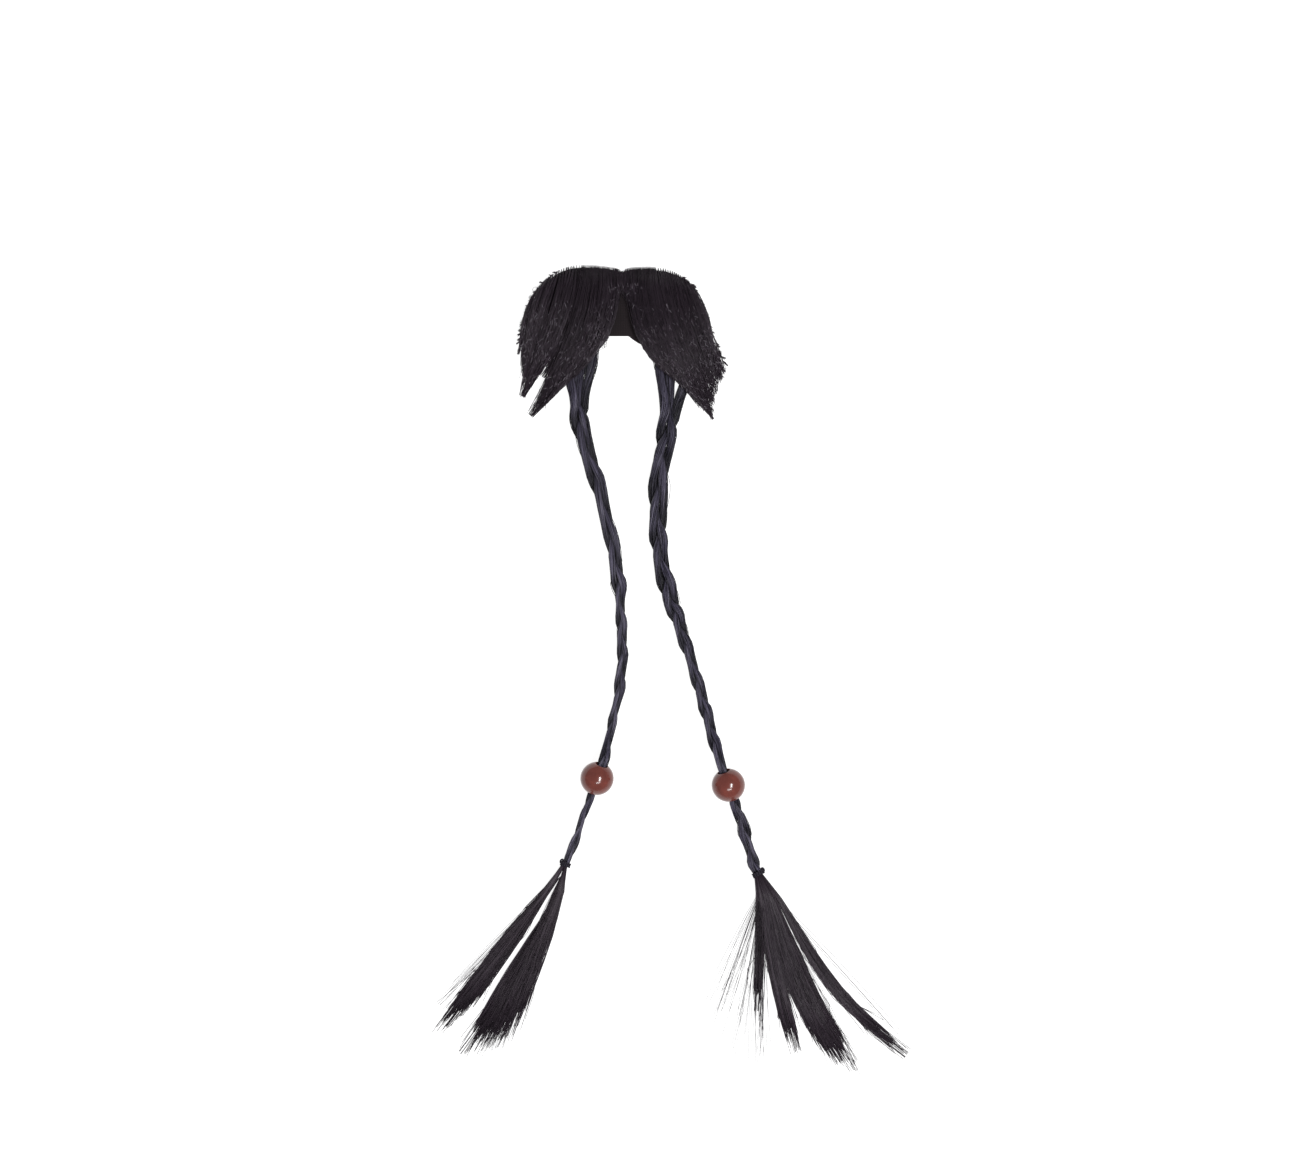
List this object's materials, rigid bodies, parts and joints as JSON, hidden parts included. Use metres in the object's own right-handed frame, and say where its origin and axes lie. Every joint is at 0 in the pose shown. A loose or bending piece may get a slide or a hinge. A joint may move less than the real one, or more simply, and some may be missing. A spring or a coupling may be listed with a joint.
{
  "type": "fake beard",
  "caption": "Stick-on false chin beard: an arched cloth patch of swept black hair, with plaits hanging from it that each end in a round bead, a tie and a loose tassel.",
  "frame": {"origin": "on the underside of the backing, the face that sticks to the chin, under the lower end of the parting", "axes": "+Z away from the skin, +Y up the face from the plaits toward the parting, +X to the right as seen from the front"},
  "size_m": [0.1349, 0.2371, 0.01],
  "materials": {
    "hair": "satin synthetic hair",
    "backing_cloth": "matt woven cloth",
    "bead": "polished",
    "tie_thread": "matt thread"
  },
  "bodies": {
    "root": {"backing": "backing_cloth", "hair_left": "hair", "hair_right": "hair", "braid_left_strand_1": "hair", "braid_left_strand_2": "hair", "braid_left_strand_3": "hair", "braid_right_strand_1": "hair", "braid_right_strand_2": "hair", "braid_right_strand_3": "hair", "bead_left": "bead", "bead_right": "bead", "tie_left": "tie_thread", "tie_right": "tie_thread", "tassel_left": "hair", "tassel_right": "hair"}
  },
  "joints": []
}
